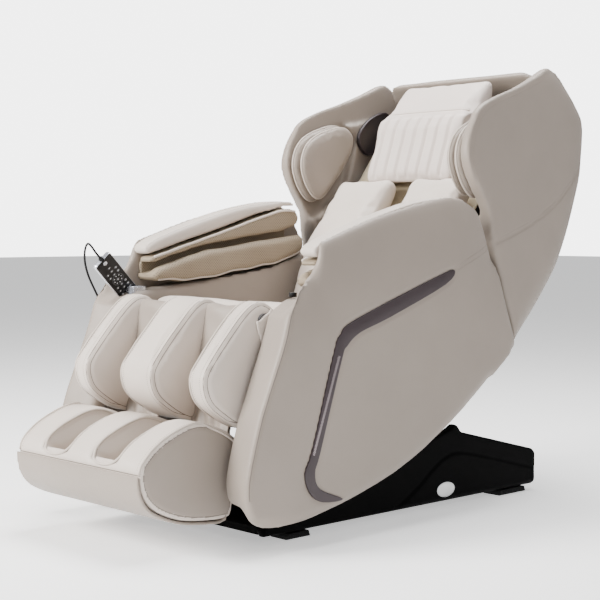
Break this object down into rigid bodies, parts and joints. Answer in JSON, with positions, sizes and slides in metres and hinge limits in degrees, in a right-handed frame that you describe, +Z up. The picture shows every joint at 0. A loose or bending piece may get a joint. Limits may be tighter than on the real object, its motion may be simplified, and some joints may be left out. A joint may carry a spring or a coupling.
{
  "type": "massage chair",
  "caption": "Reclining massage chair with padded arm shells, winged back, head pillow, calf and foot rest and wired remote, on a floor base.",
  "frame": {"origin": "on the floor, under the middle of the chair's overall box without the remote's cord", "axes": "+Z up, the chair faces -Y, +X is the sitter's left"},
  "size_m": [0.8024, 1.502, 1.187],
  "materials": {
    "leather_light": "satin grain",
    "leather_side": "satin grain",
    "pillow_leather": "satin grain",
    "mesh_khaki": "perforated weave",
    "trim_dark": "satin metallic",
    "badge": "brushed",
    "base_plastic": "fine texture",
    "black_plastic": "smooth",
    "rubber": "matte",
    "cord": "matte",
    "steel_black": "semi-gloss",
    "steel_bright": "brushed",
    "grey_plastic": "fine texture",
    "dock_silver": "metallic",
    "roller_plastic": "smooth",
    "key_rubber": "matte",
    "key_silver": "satin",
    "rocker_red": "smooth"
  },
  "bodies": {
    "base": {"base_frame": "steel_black", "base_cover_left": "base_plastic", "base_cover_right": "base_plastic", "base_front_cover": "base_plastic", "base_rear_cover": "base_plastic", "cover_screws": "steel_bright", "floor_feet": "rubber", "side_badges": "badge", "control_box": "grey_plastic", "air_pump": "grey_plastic", "power_inlet": "black_plastic"},
    "wheel_left": {"transport_wheel_left": "rubber"},
    "wheel_right": {"transport_wheel_right": "rubber"},
    "rocker": {"power_rocker": "rocker_red"},
    "tilt_drive": {"tilt_actuator": "steel_bright"},
    "tilt_piston": {"tilt_rod": "steel_bright"},
    "seat": {"seat_frame": "steel_black", "seat_airbags": "mesh_khaki", "seat_cushion": "leather_side", "arm_shell_left": "leather_side", "arm_shell_right": "leather_side", "arm_bodies": "leather_side", "arm_pockets": "mesh_khaki", "arm_top_pad_left": "leather_light", "arm_top_pad_right": "leather_light", "side_trims": "trim_dark", "remote_dock": "dock_silver", "shortcut_panel": "dock_silver", "cord_gland": "black_plastic", "recline_actuator": "steel_bright", "leg_actuator": "steel_bright", "remote_cord": "cord"},
    "shortcut": {"shortcut_button": "black_plastic"},
    "recline_piston": {"recline_rod": "steel_bright"},
    "remote": {"remote_body": "black_plastic", "remote_keypad": "key_rubber"},
    "key": {"power_key": "key_silver"},
    "back": {"back_frame": "steel_black", "back_shell": "leather_side", "back_side_left": "leather_side", "back_side_right": "leather_side", "shoulder_pads": "leather_side", "speakers": "trim_dark", "back_pads": "leather_light", "back_liner": "mesh_khaki"},
    "pillow": {"head_pillow": "pillow_leather"},
    "carriage": {"carriage_frame": "steel_black"},
    "kneader": {"kneading_shaft": "steel_bright"},
    "arm_left": {"massage_arm_left": "steel_black"},
    "arm_right": {"massage_arm_right": "steel_black"},
    "roller_left": {"massage_roller_left": "roller_plastic"},
    "roller_right": {"massage_roller_right": "roller_plastic"},
    "legrest": {"calf_walls": "leather_light", "calf_back_pads": "leather_side", "calf_shell": "grey_plastic", "legrest_frame": "steel_black"},
    "footbox": {"foot_shell": "leather_side", "foot_pad": "leather_light", "foot_frame": "steel_bright"},
    "foot_roller_shaft": {"foot_rollers": "roller_plastic"}
  },
  "joints": [
    {"name": "seat_tilt", "type": "hinge", "parent": "base", "child": "seat", "pos_m": [0, 0.18, 0.24], "axis": [-1, 0, 0], "range_deg": [0, 16]},
    {"name": "tilt_drive_swing", "type": "hinge", "parent": "base", "child": "tilt_drive", "pos_m": [0, -0.29, 0.08], "axis": [-1, 0, 0], "range_deg": [-5, 0]},
    {"name": "tilt_rod_slide", "type": "slide", "parent": "tilt_drive", "child": "tilt_piston", "axis": [0, 0.7226, 0.6912], "range_m": [0, 0.07]},
    {"name": "back_recline", "type": "hinge", "parent": "seat", "child": "back", "pos_m": [0, 0.29, 0.425], "axis": [-1, 0, 0], "range_deg": [0, 45]},
    {"name": "recline_rod_slide", "type": "slide", "parent": "seat", "child": "recline_piston", "axis": [0, -1, 0], "range_m": [0, 0.093]},
    {"name": "legrest_lift", "type": "hinge", "parent": "seat", "child": "legrest", "pos_m": [0, -0.4, 0.52], "axis": [-1, 0, 0], "range_deg": [0, 80]},
    {"name": "foot_extension", "type": "slide", "parent": "legrest", "child": "footbox", "axis": [0, -0.2599, -0.9656], "range_m": [0, 0.121]},
    {"name": "foot_roller_spin", "type": "hinge", "parent": "footbox", "child": "foot_roller_shaft", "pos_m": [0, -0.6, 0.126], "axis": [1, 0, 0], "continuous": true},
    {"name": "roller_travel", "type": "slide", "parent": "back", "child": "carriage", "axis": [0, 0.5878, 0.809], "range_m": [0, 0.36]},
    {"name": "kneading_spin", "type": "hinge", "parent": "carriage", "child": "kneader", "pos_m": [0, 0.35116, 0.58913], "axis": [1, 0, 0], "continuous": true},
    {"name": "tapping_left", "type": "hinge", "parent": "carriage", "child": "arm_left", "pos_m": [0, 0.3829, 0.63281], "axis": [1, 0, 0], "range_deg": [-4, 4]},
    {"name": "tapping_right", "type": "hinge", "parent": "carriage", "child": "arm_right", "pos_m": [0, 0.3829, 0.63281], "axis": [1, 0, 0], "range_deg": [-4, 4]},
    {"name": "roller_left_spin", "type": "hinge", "parent": "arm_left", "child": "roller_left", "pos_m": [0.068, 0.30747, 0.62087], "axis": [1, 0, 0], "continuous": true},
    {"name": "roller_right_spin", "type": "hinge", "parent": "arm_right", "child": "roller_right", "pos_m": [-0.068, 0.30747, 0.62087], "axis": [1, 0, 0], "continuous": true},
    {"name": "pillow_flip", "type": "hinge", "parent": "back", "child": "pillow", "pos_m": [0, 0.59, 1.172], "axis": [-1, 0, 0], "range_deg": [0, 150]},
    {"name": "remote_lift", "type": "slide", "parent": "seat", "child": "remote", "axis": [0.2994, -0.7585, 0.5788], "range_m": [0, 0.02]},
    {"name": "power_key_press", "type": "slide", "parent": "remote", "child": "key", "axis": [-0.9248, -0.0814, 0.3717], "range_m": [0, 0.0012], "stiffness_N_per_m": 400, "springref_m": -0.0004},
    {"name": "shortcut_press", "type": "slide", "parent": "seat", "child": "shortcut", "axis": [0, 0, -1], "range_m": [0, 0.003], "stiffness_N_per_m": 400, "springref_m": -0.001},
    {"name": "rocker_switch", "type": "hinge", "parent": "base", "child": "rocker", "pos_m": [-0.126, 0.596, 0.077], "axis": [1, 0, 0], "range_deg": [0, 14]},
    {"name": "wheel_left_spin", "type": "hinge", "parent": "base", "child": "wheel_left", "pos_m": [0.163, 0.572, 0.032], "axis": [1, 0, 0], "continuous": true},
    {"name": "wheel_right_spin", "type": "hinge", "parent": "base", "child": "wheel_right", "pos_m": [-0.163, 0.572, 0.032], "axis": [1, 0, 0], "continuous": true}
  ],
  "couplings": [
    {"joint": "tilt_drive_swing", "follows": "seat_tilt", "ratio": -0.26515},
    {"joint": "tilt_rod_slide", "follows": "seat_tilt", "m_per_rad": 0.2286},
    {"joint": "recline_rod_slide", "follows": "back_recline", "m_per_rad": 0.11694},
    {"joint": "foot_extension", "follows": "legrest_lift", "m_per_rad": 0.086},
    {"joint": "tapping_right", "follows": "tapping_left", "ratio": -1}
  ]
}
